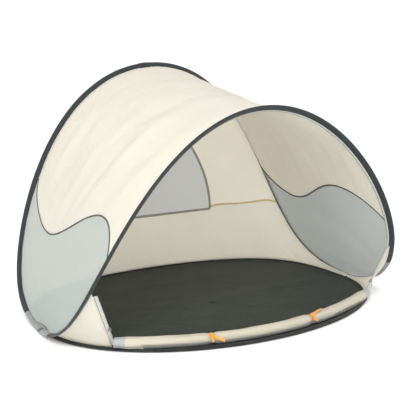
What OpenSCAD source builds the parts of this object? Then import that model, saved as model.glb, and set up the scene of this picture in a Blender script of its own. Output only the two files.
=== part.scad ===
// Small pop-up beach shelter. Two spring-wire hoops carry it: the arch hoop, one closed saddle-shaped
// loop that makes the rear arch and the front arch and touches the ground at both sides, and the flat
// floor hoop. It opens and folds about the line through the two places where the hoops touch the ground.
// Millimetres, +Z up, +X to the right of a person looking in through the doorway (towards +Y).

/* [Shelter] */
// Distance from the middle to the arch hoop where it touches the ground
half_width = 686; // [600:2:780]
// Place of the fold line along Y
fold_y = -55; // [-70:1:-40]

/* [Rear arch] */
// Rise of the rear arch above its foot
rear_rise = 885; // [760:5:950]
// How far the top of the rear arch stands behind the fold line
rear_lean = 480; // [400:5:560]
// How far the sides of the rear arch bow out behind it
rear_bow = 355; // [300:5:400]
// How much wider than a plain oval the rear arch is
rear_shoulder = 210; // [150:5:260]
// How much the lower sides of the rear arch drop below a plain oval
rear_droop = 0.63; // [0.50:0.01:0.70]

/* [Front arch] */
// Rise of the front arch above its foot
front_rise = 765; // [660:5:820]
// How far the top of the front arch stands in front of the fold line
front_lean = 360; // [300:5:420]
// How far the sides of the front arch bow out in front of it
front_bow = 235; // [180:5:280]
// How much wider than a plain oval the front arch is
front_shoulder = 260; // [200:5:300]
// How much the lower sides of the front arch drop below a plain oval
front_droop = 0.34; // [0.25:0.01:0.45]

/* [Floor hoop] */
// Half width of the floor hoop, which lies just inside the arch hoop
floor_half = 665; // [650:1:670]
// Depth of the floor behind the fold line
floor_rear = 550; // [480:5:600]
// Depth of the floor in front of the fold line
floor_front = 440; // [400:5:480]
// How much squarer than an oval the rear of the floor is
floor_corner = 250; // [150:5:280]

/* [Hoops] */
// Width of the binding sleeve, across the flat
sleeve_w = 22; // [18:1:24]
// Thickness of the binding sleeve
sleeve_t = 10; // [9:0.5:12]
// Wall of the sleeve at its broad sides
sleeve_wall = 1.5; // [1.2:0.1:1.6]
// Diameter of the spring wire
wire_d = 3.2; // [2.8:0.1:3.4]

/* [Cloth] */
// Thickness that every panel is given
cloth_t = 2; // [1.6:0.1:2.2]
// How far the roof dips between the two arches
roof_dip = 26; // [10:1:40]
// Angle from the top at which the mesh sides begin
mesh_side = 44; // [40:1:50]
// Height of the wave in the seam between canopy and mesh, in degrees of the hoop
mesh_wave = 4; // [2:0.5:6]
// Angle from the top at which the gussets begin
gusset_side = 54; // [50:1:60]

/* [Window] */
// Half width of the rear window, in degrees of the hoop
window_half = 19; // [14:1:24]
// Place of the window's top, from 0 at the arch to 1 at the floor
window_top = 0.25; // [0.20:0.01:0.35]
// Place of the window's sill
window_sill = 0.69; // [0.65:0.01:0.72]

/* [Door] */
// Radius of the rolled-up door
roll_r = 20; // [17:0.5:22]
// How far the door roll lies inside the floor hoop
roll_inset = 38; // [34:1:44]
// Radius of the door roll inside its ties
tie_r = 15; // [13:0.5:16]
// Place of the left tie, in degrees from the middle of the doorway
tie_left_at = 21; // [14:1:30]
// Place of the right tie, in degrees from the middle of the doorway
tie_right_at = 16; // [12:1:30]

/* [Zip] */
// Width of the zip tape
tape_w = 12; // [10:1:14]
// How far up the gusset's edge the slider is parked
slider_at = 62; // [58:1:80]
// Length of the pull tab
pull_l = 24; // [18:1:30]

/* [Pegs] */
// Angle of the peg tabs round the rear of the floor hoop
peg_at = 42; // [30:1:60]
// Length of a peg tab outside the hoop
peg_tab_l = 86; // [80:1:100]
// Radius of the hole for a peg
peg_r = 5; // [4:0.5:6]

/* [Hidden] */

arch_foot = 13.5;            // height of the arch hoop's centre line where it touches the ground
floor_z = 0.5 + sleeve_t / 2; // height of the floor hoop's centre line
hub = [0, fold_y, 300];      // the arch hoop's sleeve is flat towards this point
cut = 0.2;                   // degrees left open where the hoops fold
clear = 1.2;                 // gap between a panel's edge and the sleeve that it is sewn to
tie_w = 8;
tie_t = 1.2;
ferrule_l = 30;
sheet_inset = 12;

cream = [0.94, 0.92, 0.86];
shade = [0.83, 0.81, 0.75];
netting = [0.70, 0.72, 0.70];
charcoal = [0.22, 0.25, 0.24];
sheet_grey = [0.24, 0.27, 0.24];
zip_grey = [0.45, 0.46, 0.45];
orange = [0.93, 0.62, 0.22];
steel = [0.72, 0.72, 0.72];

// ---- vectors ----
function unit(v) = v / norm(v);
function mix(a, b, k) = a * (1 - k) + b * k;
function flip(p) = [-p.x, p.y, p.z];
function across(v, k) = unit(v - (v * k) * k);

// ---- the two hoops: angle 0 is the rear, 90 the right side, 180 the front, -90 or 270 the left ----
arch = function (a) let (s = sin(a), c = cos(a), rear = c >= 0) [
    s * (half_width + (rear ? rear_shoulder : front_shoulder) * c * c),
    fold_y + c * (rear ? rear_lean + rear_bow * s * s : front_lean + front_bow * s * s),
    arch_foot + c * c * (rear ? rear_rise * (1 - rear_droop * pow(s, 4)) : front_rise * (1 - front_droop * s * s)),
];
floor_hoop = function (a) let (s = sin(a), c = cos(a), rear = c >= 0) [
    s * (floor_half + (rear ? floor_corner : 0) * c * c),
    fold_y + c * (rear ? floor_rear : floor_front),
    floor_z,
];
function heading(curve, a) = unit(curve(a + 0.05) - curve(a - 0.05));
function outward(curve, a, from) = across(curve(a) - from, heading(curve, a));
function floor_out(a) = outward(floor_hoop, a, [0, fold_y, floor_z]);

// A ring of points round a curve: half widths w along its outward side and t across it.
function oval(curve, a, from, w, t, n) = let (
    k = heading(curve, a), o = outward(curve, a, from), side = cross(k, o), p = curve(a)
) [for (i = [0 : n - 1]) p + o * (w * cos(360 * i / n)) + side * (t * sin(360 * i / n))];

// ---- where the cloth is sewn on: side 1 is the canopy's side of the arch sleeve, -1 the outer side ----
function rim(a, side) = let (o = outward(arch, a, hub), k = heading(arch, a))
    arch(a) - o * (sleeve_w / 2 + clear) + cross(k, o) * (side * (cloth_t / 2 + clear));
function sill(a) = floor_hoop(a) - floor_out(a) * 4 + [0, 0, sleeve_t / 2 + cloth_t / 2 + clear];

// Roof and sides: a is the hoop angle from -90 to 90, k runs from the rear arch to the front arch.
function roof(a, k) = let (
    p = mix(rim(a, 1), rim(180 - a, 1), k), dip = (6 + roof_dip * cos(a) * cos(a)) * 4 * k * (1 - k)
) p + unit(hub - p) * dip;
// Back wall: k runs from the rear arch to the floor. Front wall: the same between front arch and floor.
function wall(a, k) = mix(rim(a, -1), sill(a), k);

function wave(k) = mesh_side + mesh_wave * sin(360 * (k - 0.03)) + 3 * pow(k, 8) - 2 * pow(1 - k, 8);
seam_reach = 50;  // angle at which the seam across the back wall meets the rear arch
seam_bend = 2.2;  // how late the seam turns down to the arch
function seam(a) = let (b = abs(a)) b < window_half
    ? window_sill + 0.04 * (1 - pow(b / window_half, 2))
    : b > seam_reach ? 0 : window_sill * (1 - pow((b - window_half) / (seam_reach - window_half), seam_bend));
// Outline of the window: f runs from 0 at the right sill over the top to 180 at the left sill.
function window_side(f) = window_half * sign(cos(f)) * pow(abs(cos(f)), 1.1);
function window_rise(f) = mix(seam(window_side(f)), window_top, sin(f));

// ---- solids from points ----
// A panel of even thickness over a surface f(u, v), where u and v run from 0 to 1.
function panel_normal(f, u, v) = let (e = 0.004, u0 = max(0, u - e), u1 = min(1, u + e), v0 = max(0, v - e), v1 = min(1, v + e))
    unit(cross(f(u1, v) - f(u0, v), f(u, v1) - f(u, v0)));
module panel(f, nu, nv, t = cloth_t) {
    count = (nu + 1) * (nv + 1);
    function at(i, j, back) = back * count + i * (nv + 1) + j;
    layer = function (side) [for (i = [0 : nu]) for (j = [0 : nv])
        f(i / nu, j / nv) + panel_normal(f, i / nu, j / nv) * (side * t / 2)];
    skins = [for (i = [0 : nu - 1]) for (j = [0 : nv - 1]) each [
        [at(i, j, 0), at(i, j + 1, 0), at(i + 1, j + 1, 0)], [at(i, j, 0), at(i + 1, j + 1, 0), at(i + 1, j, 0)],
        [at(i, j, 1), at(i + 1, j + 1, 1), at(i, j + 1, 1)], [at(i, j, 1), at(i + 1, j, 1), at(i + 1, j + 1, 1)]]];
    ends = [for (j = [0 : nv - 1]) each [
        [at(0, j, 0), at(0, j, 1), at(0, j + 1, 1)], [at(0, j, 0), at(0, j + 1, 1), at(0, j + 1, 0)],
        [at(nu, j, 0), at(nu, j + 1, 1), at(nu, j, 1)], [at(nu, j, 0), at(nu, j + 1, 0), at(nu, j + 1, 1)]]];
    sides = [for (i = [0 : nu - 1]) each [
        [at(i, 0, 0), at(i + 1, 0, 1), at(i, 0, 1)], [at(i, 0, 0), at(i + 1, 0, 0), at(i + 1, 0, 1)],
        [at(i, nv, 0), at(i, nv, 1), at(i + 1, nv, 1)], [at(i, nv, 0), at(i + 1, nv, 1), at(i + 1, nv, 0)]]];
    polyhedron(concat(layer(1), layer(-1)), concat(skins, ends, sides), convexity = 6);
}

// The faces of a skin between rings of n points; way is 1 or -1 and turns the skin inside out.
function skin(first, rings, n, way, closed = false) = [
    for (r = [0 : rings - (closed ? 1 : 2)]) for (i = [0 : n - 1]) let (
        a = first + r * n + i, b = first + r * n + (i + 1) % n,
        c = first + ((r + 1) % rings) * n + (i + 1) % n, d = first + ((r + 1) % rings) * n + i
    ) each (way > 0 ? [[a, b, c], [a, c, d]] : [[a, c, b], [a, d, c]])];
module rod(rings) {
    n = len(rings[0]);
    last = (len(rings) - 1) * n;
    caps = [[for (i = [n - 1 : -1 : 0]) i], [for (i = [0 : n - 1]) last + i]];
    polyhedron([for (r = rings) each r], concat(skin(0, len(rings), n, 1), caps), convexity = 6);
}
module loop_rod(rings) {
    polyhedron([for (r = rings) each r], skin(0, len(rings), len(rings[0]), 1, true), convexity = 6);
}
module hollow_rod(outer, inner) {
    n = len(outer[0]);
    rings = len(outer);
    core = rings * n;
    cap = function (r, way) [for (i = [0 : n - 1]) let (
        a = r * n + i, b = r * n + (i + 1) % n, c = core + b, d = core + a
    ) each (way > 0 ? [[a, b, c], [a, c, d]] : [[a, c, b], [a, d, c]])];
    polyhedron([for (r = concat(outer, inner)) each r],
        concat(skin(0, rings, n, 1), skin(core, rings, n, -1), cap(0, -1), cap(rings - 1, 1)), convexity = 8);
}

// ---- hoops ----
module hoop_wire(curve, from, first, last, steps) {
    rod([for (i = [0 : steps]) oval(curve, mix(first, last, i / steps), from, wire_d / 2, wire_d / 2, 8)]);
}
module hoop_sleeve(curve, from, first, last, steps) {
    angles = [for (i = [0 : steps]) mix(first, last, i / steps)];
    hollow_rod(
        [for (a = angles) oval(curve, a, from, sleeve_w / 2, sleeve_t / 2, 10)],
        [for (a = angles) oval(curve, a, from, sleeve_w / 2 - 2 * sleeve_wall, sleeve_t / 2 - sleeve_wall, 10)]);
}
arch_steps = 41;   // odd, so that the ferrule lies on one straight step
floor_steps = 31;
module rear_arch_wire() { color(steel) hoop_wire(arch, hub, cut - 90, 90 - cut, arch_steps); }
module rear_arch_sleeve() { color(charcoal) hoop_sleeve(arch, hub, cut - 90, 90 - cut, arch_steps); }
module front_arch_wire() { color(steel) hoop_wire(arch, hub, 90 + cut, 270 - cut, 36); }
module front_arch_sleeve() { color(charcoal) hoop_sleeve(arch, hub, 90 + cut, 270 - cut, 36); }
floor_hub = [0, fold_y, floor_z];
module rear_floor_wire() { color(steel) hoop_wire(floor_hoop, floor_hub, cut - 90, 90 - cut, floor_steps); }
module rear_floor_sleeve() { color(charcoal) hoop_sleeve(floor_hoop, floor_hub, cut - 90, 90 - cut, floor_steps); }
module front_floor_wire() { color(steel) hoop_wire(floor_hoop, floor_hub, 90 + cut, 270 - cut, 28); }
module front_floor_sleeve() { color(charcoal) hoop_sleeve(floor_hoop, floor_hub, 90 + cut, 270 - cut, 28); }

// A crimped tube joins the two ends of each wire, inside the sleeve.
module ferrule(curve, steps) {
    h = (90 - cut) / steps;
    translate(mix(curve(-h), curve(h), 0.5)) rotate([0, 90, 0]) difference() {
        cylinder(h = ferrule_l, r = 2.8, center = true, $fn = 48);
        cylinder(h = ferrule_l + 2, r = 2.1, center = true, $fn = 48);
    }
}
module arch_ferrule() { color(steel) ferrule(arch, arch_steps); }
module floor_ferrule() { color(steel) ferrule(floor_hoop, floor_steps); }

// ---- roof and mesh sides ----
seam_half = 2.6 / 14;  // half the seam's width, in degrees of the hoop
seam_steps = 16;       // straight steps of the seam from the rear arch to the front arch
mesh_end = 82;         // angle at which the mesh sides end, just above the hoop's foot
module canopy_panel() {
    color(cream) panel(function (u, v) roof(mix(-1, 1, u) * (wave(v) - seam_half), v), 30, seam_steps);
}
module side_mesh() {
    panel(function (u, v) roof(mix(wave(v) + seam_half, mesh_end, u), v), 12, seam_steps);
}
module side_piping() {
    joint = [for (i = [0 : seam_steps]) roof(wave(i / seam_steps), i / seam_steps)];
    line = function (a) let (i = min(floor(a), seam_steps - 1)) mix(joint[i], joint[i + 1], a - i);
    rod([for (a = concat([0.2], [for (i = [1 : seam_steps - 1]) i], [seam_steps - 0.4]))
        oval(line, a, hub, 1.3, 1.3, 6)]);
}
module side_mesh_right() { color(netting) side_mesh(); }
module side_mesh_left() { color(netting) mirror([1, 0, 0]) side_mesh(); }
module side_piping_right() { color(charcoal) side_piping(); }
module side_piping_left() { color(charcoal) mirror([1, 0, 0]) side_piping(); }

// ---- back wall and window ----
edge_gap = 0.3;  // half the width of the window's edging, in degrees of the hoop
module back_wall_upper() {
    color(cream) panel(function (u, v) let (
        f = mix(0, 180, u), inner = window_side(f) * (1 + edge_gap / window_half),
        outer = seam_reach * cos(f), a = mix(inner, outer, v),
        low = window_rise(f) - 0.006 * sin(f)
    ) wall(a, low * (1 - pow(v, seam_bend)) - 0.004 * (1 - sin(f)) * (1 - v)), 36, 7);
}
module back_wall_lower() {
    color(shade) panel(function (u, v) let (a = mix(-80, 80, u)) wall(a, mix(seam(a) + (abs(a) < seam_reach ? 0.007 : 0), 1, v)), 40, 5);
}
module window_mesh() {
    color(netting) panel(function (u, v) let (
        f = mix(2, 88, v), a = window_side(f) * (1 - 2 * u) * (1 - edge_gap / window_half)
    ) wall(a, mix(seam(a), window_top, sin(f)) - 0.004 * (1 - sin(f)) + 0.012 * sin(f)), 14, 9);
}
module window_edging() {
    over = [for (i = [0 : 26]) let (f = 0.6 + 178.8 * i / 26) [window_side(f), window_rise(f)]];
    along = concat(over, [for (i = [0 : 13]) let (a = mix(-0.985, 0.985, i / 13) * window_half) [a, seam(a) - 0.005]]);
    n = len(along);
    spot = function (i) let (q = along[(i + n) % n]) wall(q[0], q[1]);
    color(charcoal) loop_rod([for (i = [0 : n - 1]) let (
        k = unit(spot(i + 1) - spot(i - 1)), o = across([0, 1, 0], k), side = cross(k, o)
    ) [for (j = [0 : 5]) spot(i) + o * (0.9 * cos(60 * j)) + side * (0.9 * sin(60 * j))]]);
}

// ---- floor ----
module groundsheet(first, last, steps) {
    color(sheet_grey) linear_extrude(height = cloth_t)
        polygon([for (i = [0 : steps]) let (
            a = mix(first, last, i / steps), p = floor_hoop(a) - floor_out(a) * sheet_inset
        ) [p.x, p.y]]);
}
module groundsheet_rear() { groundsheet(cut - 90, 90 - cut, 36); }
module groundsheet_front() { groundsheet(90 + cut, 270 - cut, 32); }

// ---- gussets and zips ----
gusset_edge = 180 - gusset_side;
zip_low = wall(gusset_edge, 1);
zip_high = wall(gusset_edge, 0);
zip_up = unit(zip_high - zip_low);
zip_in = across(wall(gusset_edge + 1, 0.5) - wall(gusset_edge, 0.5), zip_up);
zip_face = cross(zip_up, zip_in);  // points out of the shelter
zip_len = norm(zip_high - zip_low);
coil_r = 1.2;

module gusset() { panel(function (u, v) wall(mix(99, gusset_edge, u), v), 8, 6); }
module gusset_right() { color(cream) gusset(); }
module gusset_left() { color(cream) mirror([1, 0, 0]) gusset(); }

// Puts what is drawn with X into the doorway, Y up the zip and Z out of the shelter on the right zip.
module on_zip() {
    multmatrix([
        [zip_in.x, zip_up.x, zip_face.x, zip_low.x],
        [zip_in.y, zip_up.y, zip_face.y, zip_low.y],
        [zip_in.z, zip_up.z, zip_face.z, zip_low.z],
        [0, 0, 0, 1]]) children();
}
module gusset_zip() {
    on_zip() {
        translate([1.2, 2, -0.6]) cube([tape_w - 1.2, zip_len - 12, 1.2]);
        translate([tape_w, 2, 0]) rotate([-90, 0, 0]) cylinder(h = zip_len - 12, r = coil_r, $fn = 24);
    }
}
module gusset_zip_right() { color(zip_grey) gusset_zip(); }
module gusset_zip_left() { color(zip_grey) mirror([1, 0, 0]) gusset_zip(); }

arch_tape_end = gusset_edge + 2.4;
module arch_zip_tape() {
    color(zip_grey) panel(function (u, v) let (a = mix(arch_tape_end, 360 - arch_tape_end, u), p = rim(a, -1))
        p + unit(sill(a) - p) * (1 + v * tape_w), 36, 1, 1.2);
}

plate_t = 1.6;
plate_gap = coil_r + 0.7;
lug_z = plate_gap + plate_t + 2.2;  // height of the pull's pin over the middle of the tape
module zip_slider() {
    on_zip() translate([0, slider_at, 0]) {
        for (side = [0, 1]) mirror([0, 0, side])
            translate([tape_w - 6, 0, plate_gap]) linear_extrude(height = plate_t)
                polygon([[0, 2], [2, 0], [8, 0], [11, 4], [11, 11], [8, 14], [2, 14], [0, 11]]);
        translate([tape_w + 2.4, 4, -plate_gap - 0.1]) cube([2.2, 7, 2 * plate_gap + 0.2]);
        for (x = [tape_w - 3, tape_w + 1.8])
            translate([x, 6, plate_gap + plate_t - 0.1]) cube([1.2, 4, 3.9]);
        translate([tape_w - 2.9, 8, lug_z]) rotate([0, 90, 0]) cylinder(h = 5.8, r = 0.8, $fn = 32);
    }
}
module zip_slider_right() { color(steel) zip_slider(); }
module zip_slider_left() { color(steel) mirror([1, 0, 0]) zip_slider(); }

// The pull tab hangs straight down from its pin.
pull_hang = atan2(-zip_face.z, zip_up.z);
module zip_pull() {
    on_zip() translate([tape_w, slider_at + 8, lug_z]) rotate([-pull_hang, 0, 0]) difference() {
        union() {
            rotate([0, 90, 0]) cylinder(h = 3.0, r = 1.9, center = true, $fn = 32);
            translate([-1.5, -8, -0.7]) cube([3.0, 8, 1.4]);
            translate([-3, -pull_l, -0.7]) cube([6, pull_l - 7, 1.4]);
        }
        rotate([0, 90, 0]) cylinder(h = 8, r = 0.95, center = true, $fn = 32);
    }
}
module zip_pull_right() { color(orange) zip_pull(); }
module zip_pull_left() { color(orange) mirror([1, 0, 0]) zip_pull(); }

// ---- door, rolled down along the front of the floor ----
roll_reach = 51.5;  // half the roll's length, in degrees from the middle of the doorway
roll_line = function (a) let (u = pow((a - 180) / roll_reach, 4))
    floor_hoop(a) - floor_out(a) * (roll_inset - (roll_inset + 4) * u)
    + [0, 0, cloth_t + 1 + roll_r - floor_z + 12 * u];
function pinch(a, at) = exp(-pow((a - at) / 1.6, 2));
function roll_radius(a) = roll_r - (roll_r - tie_r) * (pinch(a, 180 + tie_left_at) + pinch(a, 180 - tie_right_at));
tie_steps = [-4, -2, -1, -0.4, 0.4, 1, 2, 4];
roll_marks = concat([for (i = [0 : 4]) mix(-roll_reach, -tie_right_at - 6, i / 4)], [for (s = tie_steps) s - tie_right_at],
        [for (i = [1 : 5]) mix(-tie_right_at, tie_left_at, i / 6)], [for (s = tie_steps) s + tie_left_at],
        [for (i = [0 : 4]) mix(tie_left_at + 6, roll_reach, i / 4)]);
module door_roll() {
    color(shade) rod([for (m = roll_marks) let (a = 180 + m) oval(roll_line, a, [0, fold_y, roll_r], roll_radius(a), roll_radius(a), 14)]);
}
// The zip's other tape shows along the outer foot of the roll.
module door_zip_tape() {
    marks = concat([-40], [for (m = roll_marks) if (abs(m) < 38) m], [40]);
    n = len(marks) - 1;
    place = [for (i = [0 : n]) [i / n, marks[i]]];
    color(zip_grey) panel(function (u, v) let (
        a = 180 + lookup(u, place), o = floor_out(a), turn = mix(-16, -46, v),
        reach = roll_radius(a) + 1.6
    ) roll_line(a) + o * (reach * cos(turn)) + [0, 0, reach * sin(turn)], n, 2, 1.2);
}
// A flat tape tied round the roll, with two loose ends that lie over the hoop.
tie_ring = tie_r + 2.8;  // inner radius of the tied tape
module door_tie(at, lean) {
    p = roll_line(at);
    k = heading(roll_line, at);
    translate(p) rotate([0, 0, atan2(k.y, k.x)]) {
        rotate([0, 90, 0]) difference() {
            cylinder(h = tie_w, r = tie_ring + tie_t, center = true, $fn = 64);
            cylinder(h = tie_w + 1, r = tie_ring, center = true, $fn = 64);
        }
        for (end = [[50, -9, 17], [57, lean, 40]])
            rotate([end[0] - 90, 0, 0]) translate([0, 0, tie_ring]) rotate([0, 0, end[1]])
                translate([-tie_w / 2, -2, 0]) cube([tie_w, end[2], tie_t]);
    }
}
module door_tie_left() { color(orange) door_tie(180 + tie_left_at, 34); }
module door_tie_right() { color(orange) door_tie(180 - tie_right_at, 40); }

// ---- peg tabs at the back ----
eyelet_r = 7;
module at_pegs() {
    for (side = [-1, 1]) let (a = side * peg_at, p = floor_hoop(a), o = floor_out(a))
        translate([p.x, p.y, 0]) rotate([0, 0, atan2(o.y, o.x)]) children();
}
peg_reach = sleeve_w / 2 + peg_tab_l - 15;
module peg_tabs() {
    color(charcoal) at_pegs() difference() {
        translate([0, 0, 0.4]) linear_extrude(height = cloth_t) offset(r = 5) offset(delta = -5)
            translate([sleeve_w / 2 + 0.6, -13]) square([peg_tab_l, 26]);
        translate([peg_reach, 0, -1]) cylinder(h = 6, r = eyelet_r + 0.2, $fn = 48);
    }
}
module peg_eyelets() {
    color(steel) at_pegs() translate([peg_reach, 0, 0]) difference() {
        union() {
            translate([0, 0, 0.4]) cylinder(h = cloth_t + 0.4, r = eyelet_r, $fn = 48);
            translate([0, 0, cloth_t + 0.6]) cylinder(h = 0.9, r = 10, $fn = 48);
        }
        translate([0, 0, -1]) cylinder(h = 8, r = peg_r, $fn = 48);
    }
}

rear_arch_wire();
rear_arch_sleeve();
rear_floor_wire();
rear_floor_sleeve();
front_arch_wire();
front_arch_sleeve();
front_floor_wire();
front_floor_sleeve();
arch_ferrule();
floor_ferrule();
canopy_panel();
side_mesh_left();
side_mesh_right();
side_piping_left();
side_piping_right();
back_wall_upper();
back_wall_lower();
window_mesh();
window_edging();
groundsheet_rear();
groundsheet_front();
gusset_left();
gusset_right();
gusset_zip_left();
gusset_zip_right();
arch_zip_tape();
door_roll();
door_zip_tape();
door_tie_left();
door_tie_right();
zip_slider_left();
zip_slider_right();
zip_pull_left();
zip_pull_right();
peg_tabs();
peg_eyelets();
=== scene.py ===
"""Looks of the pop-up beach shelter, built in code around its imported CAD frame."""

import math

import bmesh
import bpy
import numpy as np
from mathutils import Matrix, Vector


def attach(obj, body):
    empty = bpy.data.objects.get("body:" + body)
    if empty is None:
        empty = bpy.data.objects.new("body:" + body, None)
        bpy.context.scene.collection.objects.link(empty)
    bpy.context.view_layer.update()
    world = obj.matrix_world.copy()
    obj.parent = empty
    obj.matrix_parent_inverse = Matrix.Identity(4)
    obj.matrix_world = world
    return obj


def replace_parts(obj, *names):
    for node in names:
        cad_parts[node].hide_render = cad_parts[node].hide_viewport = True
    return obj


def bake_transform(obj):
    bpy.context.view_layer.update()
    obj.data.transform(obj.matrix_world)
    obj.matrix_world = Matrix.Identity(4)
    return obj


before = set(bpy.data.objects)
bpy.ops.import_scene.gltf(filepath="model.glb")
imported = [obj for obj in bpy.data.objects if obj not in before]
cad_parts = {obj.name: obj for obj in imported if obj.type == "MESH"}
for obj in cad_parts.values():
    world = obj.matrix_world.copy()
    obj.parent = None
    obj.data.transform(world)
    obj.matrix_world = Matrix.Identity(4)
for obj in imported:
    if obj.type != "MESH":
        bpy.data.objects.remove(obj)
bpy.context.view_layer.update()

# ---- camera: it stands where the photograph was taken from ----
CAMERA_AZIMUTH = -29.9
CAMERA_ELEVATION = 11.07
CAMERA_DISTANCE = 3.182
CAMERA_TARGET = Vector((0, 0.042, 0.3895))
CAMERA_LENS = 73.9


def add_camera():
    azimuth, elevation = math.radians(CAMERA_AZIMUTH), math.radians(CAMERA_ELEVATION)
    back = Vector((
        math.sin(azimuth) * math.cos(elevation),
        -math.cos(azimuth) * math.cos(elevation),
        math.sin(elevation),
    ))
    camera = bpy.data.objects.new("camera", bpy.data.cameras.new("camera"))
    bpy.context.scene.collection.objects.link(camera)
    camera.data.lens = CAMERA_LENS
    camera.data.sensor_width = 36
    camera.location = CAMERA_TARGET + back * CAMERA_DISTANCE
    camera.rotation_mode = "QUATERNION"
    camera.rotation_quaternion = (-back).to_track_quat("-Z", "Y")
    bpy.context.scene.camera = camera


add_camera()

# ---- sizes of the frame, in metres and degrees ----
HALF_WIDTH = 0.686
FOLD_Y = -0.055
ARCH_FOOT = 0.0135
FLOOR_Z = 0.0055
HUB = np.array([0, FOLD_Y, 0.300])
FLOOR_HUB = np.array([0, FOLD_Y, FLOOR_Z])
SLEEVE_W = 0.022
SLEEVE_T = 0.010
WIRE_R = 0.0016
LIP_SEAM = 0.0065
RIM_OPEN = 0.0085
RIM_TUCKED = 0.0122
CLOTH_T = 0.0008
ROOF_DIP = 0.015
WINDOW_HALF = 19
WINDOW_TOP = 0.25
WINDOW_SILL = 0.69
SEAM_REACH = 52.2
SEAM_BEND = 2.44
SEAM_EASE = 0.19
MESH_END = 84
LOWER_END = 89.4
GUSSET_START = 90.6
GUSSET_EDGE = 126
TAPE_W = 0.012
ARCH_TAPE_W = 0.008
ARCH_TAPE_GAP = 0.0035
COIL_R = 0.0012
PIPING_W = 0.0072
EDGING_W = 0.0108
SEAM_W = 0.0085
TIE_W = 0.0080
TIE_T = 0.0014
ROLL_R = 0.020
ROLL_INSET = 0.038
ROLL_REACH = 52.7
TIE_R = 0.015
TIE_LEFT = 201
TIE_RIGHT = 164
FOOT_COVERS = [(-90, -79), (262, 270), (81, 117)]
PEG_AT = 42
PEG_REACH = 0.082


# ---- vectors and curves ----
def unit(v):
    return v / np.linalg.norm(v, axis=-1, keepdims=True)


def mix(a, b, k):
    return a * (1 - k) + b * k


def ramp(x, low, high):
    k = np.clip((x - low) / (high - low), 0, 1)
    return k * k * (3 - 2 * k)


def square_to(v, k):
    return unit(v - k * np.sum(v * k, axis=-1, keepdims=True))


def arch(a):
    """The arch hoop: 0 is the top of the rear arch, 180 the top of the front arch."""
    a = np.radians(np.asarray(a, float))
    s, c = np.sin(a), np.cos(a)
    rear = c >= 0
    x = s * (HALF_WIDTH + np.where(rear, 0.210, 0.260) * c * c)
    y = FOLD_Y + c * np.where(rear, 0.480 + 0.355 * s * s, 0.360 + 0.235 * s * s)
    z = ARCH_FOOT + c * c * np.where(rear, 0.885 * (1 - 0.63 * s**4), 0.765 * (1 - 0.34 * s * s))
    return np.stack([x, y, z], -1)


def floor_hoop(a):
    a = np.radians(np.asarray(a, float))
    s, c = np.sin(a), np.cos(a)
    rear = c >= 0
    x = s * (0.665 + np.where(rear, 0.250, 0) * c * c)
    y = FOLD_Y + c * np.where(rear, 0.550, 0.440)
    return np.stack([x, y, np.full_like(x, FLOOR_Z)], -1)


def heading(curve, a):
    return unit(curve(np.asarray(a) + 0.05) - curve(np.asarray(a) - 0.05))


def outward(curve, a, hub):
    return square_to(curve(a) - hub, heading(curve, a))


def rim(a, side):
    """Where cloth enters the arch binding: side 1 is the canopy's side, -1 the walls' side.

    Over the back wall both cloths come round in front of the binding's lip."""
    o, k = outward(arch, a, HUB), heading(arch, a)
    open_lip = ramp(np.abs(a), 36, 50)[..., None]
    inset, lift = mix(RIM_TUCKED, RIM_OPEN, open_lip), mix(0.0005, 0.0013, open_lip)
    return arch(a) - o * inset + np.cross(k, o) * (side * lift)


def sill(a):
    return floor_hoop(a) - outward(floor_hoop, a, FLOOR_HUB) * 0.004 + [0, 0, 0.0045]


def roof(a, k):
    """The roof between the arches: k runs from the rear arch to the front arch."""
    c = np.cos(np.radians(a))
    dip = (0.006 + ROOF_DIP * c * c) * 4 * k * (1 - k)
    p = mix(rim(a, 1), rim(180 - a, 1), np.asarray(k)[..., None])
    return p + unit(HUB - p) * dip[..., None]


def wall(a, k):
    return mix(rim(a, -1), sill(a), np.asarray(k)[..., None])


def wave(k, side=1):
    """The wavy seam between canopy and mesh, as an angle from the top on each side."""
    if side > 0:
        return 43.3 + 4.4 * np.sin(2 * np.pi * (k + 0.010)) + 2.7 * k**12 - 1.6 * (1 - k) ** 40
    return 44.1 + 5.1 * np.sin(2 * np.pi * (k - 0.041)) + 3.8 * k**12 - 2.7 * (1 - k) ** 40


def seam_fall(turn):
    """How high the back seam still is at a share of its way from the window to the arch."""
    return 1 - turn**SEAM_BEND - SEAM_EASE * np.sqrt(turn) * (1 - turn)


def seam(a):
    """Height of the seam across the back wall, as a share of the way down from the arch."""
    b = np.abs(a)
    inner = WINDOW_SILL + 0.04 * (1 - (b / WINDOW_HALF) ** 2)
    turn = np.clip((b - WINDOW_HALF) / (SEAM_REACH - WINDOW_HALF), 0, 1)
    return np.where(b < WINDOW_HALF, inner, WINDOW_SILL * seam_fall(turn))


def window_side(f):
    c = np.cos(np.radians(f))
    return WINDOW_HALF * np.sign(c) * np.abs(c) ** 1.1


def window_rise(f):
    return mix(seam(window_side(f)), WINDOW_TOP, np.sin(np.radians(f)))


def roll_line(a):
    a = np.asarray(a, float)
    u = ((a - 180) / ROLL_REACH) ** 4
    o = outward(floor_hoop, a, FLOOR_HUB)
    p = floor_hoop(a) - o * (ROLL_INSET - (ROLL_INSET + 0.009) * u)[..., None]
    p[..., 2] = 0.003 + ROLL_R + 0.009 * u
    return p


def near(a, at, width):
    return np.exp(-(((a - at) / width) ** 2))


def roll_radius(a):
    return ROLL_R - (ROLL_R - TIE_R) * (near(a, TIE_LEFT, 1.6) + near(a, TIE_RIGHT, 1.6))


def even_angles(curve, first, last, count):
    """Angles that stand evenly along a curve."""
    fine = np.linspace(first, last, 4000)
    steps = np.linalg.norm(np.diff(curve(fine), axis=0), axis=1)
    run = np.concatenate([[0], np.cumsum(steps)])
    return np.interp(np.linspace(0, run[-1], count), run, fine)


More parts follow.
